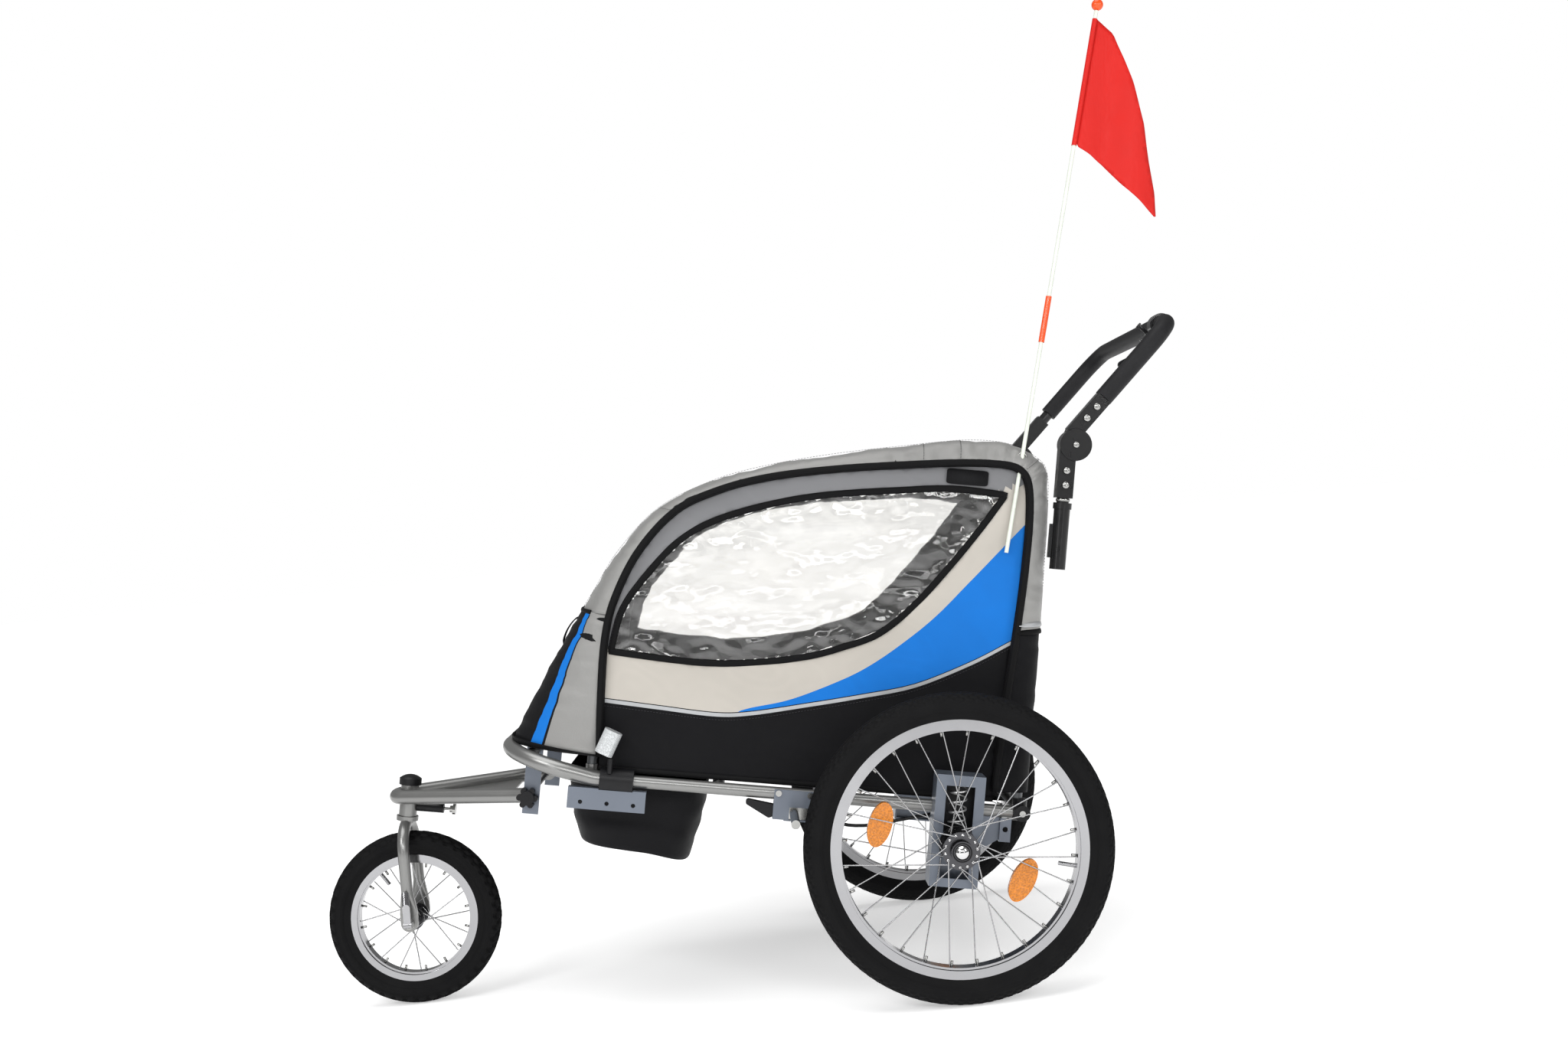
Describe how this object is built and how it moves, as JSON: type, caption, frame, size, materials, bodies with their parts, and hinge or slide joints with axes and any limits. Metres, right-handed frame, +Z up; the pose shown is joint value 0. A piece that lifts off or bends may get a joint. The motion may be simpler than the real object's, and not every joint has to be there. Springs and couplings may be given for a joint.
{
  "type": "child bicycle trailer",
  "caption": "Fabric-covered child bicycle trailer in stroller form, with spring suspension, spoked wheels, swivelling jogger wheel, push bar, brakes and safety flag.",
  "frame": {"origin": "on the ground under the middle of the whole trailer, as it stands on its three wheels", "axes": "+X towards the rear, where the push bar is; +Y towards the right side; +Z up. The left side, with the flag and the drawbar bracket, is -Y."},
  "size_m": [1.5474, 0.801, 1.5809],
  "materials": {
    "frame_paint": "satin light silver-grey powder coat",
    "hoop_paint": "satin dark grey powder coat",
    "bracket_paint": "satin blue-grey paint",
    "zinc": "bright zinc",
    "black_plastic": "matt moulded black",
    "black_gloss": "glossy black",
    "reflector_white": "bright chromed reflector",
    "reflector_orange": "translucent amber lens",
    "tyre": "matt black tread rubber",
    "rim": "bright polished",
    "spoke": "stainless",
    "hub": "black with a satin shell",
    "foam": "soft matt foam",
    "cover_fabric": "silver coated nylon, satin",
    "panel_fabric": "beige, black and blue woven nylon",
    "black_fabric": "black woven nylon",
    "seat_fabric": "dark padded fabric",
    "window": "clear soft vinyl",
    "flag_fabric": "fluorescent orange-red",
    "pole": "white glass-fibre rod",
    "flag_plastic": "orange-red"
  },
  "bodies": {
    "trailer": {"front_bumper": "frame_paint", "base_frame": "frame_paint", "cabin_frame": "hoop_paint", "corner_joints": "black_plastic", "left_suspension_bracket": "bracket_paint", "right_suspension_bracket": "bracket_paint", "drawbar_bracket": "bracket_paint", "bumper_sleeves": "black_plastic", "front_reflectors": "reflector_white", "arm_brackets": "bracket_paint", "jogger_arm": "frame_paint", "head_cap": "black_plastic", "lock_pin_housing": "black_plastic", "push_bar_sleeves": "black_plastic", "brake_brackets": "bracket_paint", "brake_cable": "black_plastic", "roof_cover": "cover_fabric", "side_panels": "panel_fabric", "windows": "window", "front_cover": "black_fabric", "rear_cover": "black_fabric", "footwell_bag": "black_fabric", "seat_base": "seat_fabric", "seat_back": "seat_fabric", "harness": "black_fabric", "frame_bolts": "zinc", "left_spring": "zinc", "right_spring": "zinc"},
    "left_axle": {"left_axle_slider": "bracket_paint"},
    "right_axle": {"right_axle_slider": "bracket_paint"},
    "left_wheel": {"left_tyre": "tyre", "left_rim": "rim", "left_spokes": "spoke", "left_hub": "hub", "left_spoke_reflectors": "reflector_orange"},
    "right_wheel": {"right_tyre": "tyre", "right_rim": "rim", "right_spokes": "spoke", "right_hub": "hub", "right_spoke_reflectors": "reflector_orange"},
    "swivel_fork": {"fork": "frame_paint", "front_skewer": "zinc"},
    "front_wheel": {"front_tyre": "tyre", "front_rim": "rim", "front_spokes": "spoke", "front_hub": "hub"},
    "release_lever": {"quick_release_lever": "zinc"},
    "swivel_lock": {"lock_pin": "zinc"},
    "arm_knobs": {"star_knobs": "black_plastic"},
    "bar_legs": {"push_bar_legs": "black_plastic"},
    "push_bar": {"push_bar_frame": "black_plastic", "push_bar_grip": "foam", "hand_lever_clamp": "black_gloss"},
    "hand_brake": {"hand_lever": "black_gloss"},
    "pedal": {"brake_pedal": "black_plastic"},
    "left_peg": {"left_brake_peg": "zinc"},
    "right_peg": {"right_brake_peg": "zinc"},
    "flag": {"flag_pole": "pole", "flag_pennant": "flag_fabric", "flag_fittings": "flag_plastic"}
  },
  "joints": [
    {"name": "left_suspension", "type": "slide", "parent": "trailer", "child": "left_axle", "axis": [0.184, 0, 0.9829], "range_m": [0, 0.025], "stiffness_N_per_m": 6000, "springref_m": -0.014, "deforming": ["left_spring"]},
    {"name": "right_suspension", "type": "slide", "parent": "trailer", "child": "right_axle", "axis": [0.184, 0, 0.9829], "range_m": [0, 0.025], "stiffness_N_per_m": 6000, "springref_m": -0.014, "deforming": ["right_spring"]},
    {"name": "left_wheel_spin", "type": "hinge", "parent": "left_axle", "child": "left_wheel", "pos_m": [0.31272, -0.355, 0.245], "axis": [0, 1, 0], "continuous": true},
    {"name": "right_wheel_spin", "type": "hinge", "parent": "right_axle", "child": "right_wheel", "pos_m": [0.31272, 0.355, 0.245], "axis": [0, 1, 0], "continuous": true},
    {"name": "fork_swivel", "type": "hinge", "parent": "trailer", "child": "swivel_fork", "pos_m": [-0.61343, 0, 0.35728], "axis": [0.184, 0, 0.9829], "continuous": true},
    {"name": "front_wheel_spin", "type": "hinge", "parent": "swivel_fork", "child": "front_wheel", "pos_m": [-0.62174, 0, 0.152], "axis": [0, 1, 0], "continuous": true},
    {"name": "release_lever_throw", "type": "hinge", "parent": "swivel_fork", "child": "release_lever", "pos_m": [-0.62174, -0.067, 0.152], "axis": [1, 0, -0.0068], "range_deg": [0, 170]},
    {"name": "swivel_lock_pull", "type": "slide", "parent": "trailer", "child": "swivel_lock", "axis": [0.9829, 0, -0.184], "range_m": [0, 0.006]},
    {"name": "arm_knob_turn", "type": "hinge", "parent": "trailer", "child": "arm_knobs", "pos_m": [-0.38012, 0, 0.36449], "axis": [0, 1, 0], "continuous": true},
    {"name": "push_bar_height", "type": "slide", "parent": "trailer", "child": "bar_legs", "axis": [0.184, 0, 0.9829], "range_m": [-0.006, 0.06]},
    {"name": "push_bar_tilt", "type": "hinge", "parent": "bar_legs", "child": "push_bar", "pos_m": [0.57481, 0, 0.85723], "axis": [0, 1, 0], "range_deg": [-36, 72]},
    {"name": "hand_brake_squeeze", "type": "hinge", "parent": "push_bar", "child": "hand_brake", "pos_m": [0.73045, -0.19, 1.01878], "axis": [0, 1, 0], "range_deg": [0, 20], "stiffness_Nm_per_rad": 0.3, "springref_deg": -20.05},
    {"name": "brake_pedal_press", "type": "hinge", "parent": "trailer", "child": "pedal", "pos_m": [0.03405, -0.275, 0.32157], "axis": [0, 1, 0], "range_deg": [-22, 0]},
    {"name": "left_peg_slide", "type": "slide", "parent": "trailer", "child": "left_peg", "axis": [0.9829, 0, -0.184], "range_m": [0, 0.0076]},
    {"name": "right_peg_slide", "type": "slide", "parent": "trailer", "child": "right_peg", "axis": [0.9829, 0, -0.184], "range_m": [0, 0.0077]},
    {"name": "flag_lift", "type": "slide", "parent": "trailer", "child": "flag", "axis": [0.268, 0.026, 0.9631], "range_m": [0, 0.2]}
  ],
  "couplings": [
    {"joint": "brake_pedal_press", "follows": "left_peg_slide", "rad_per_m": -50.52},
    {"joint": "right_peg_slide", "follows": "left_peg_slide", "ratio": 1}
  ]
}
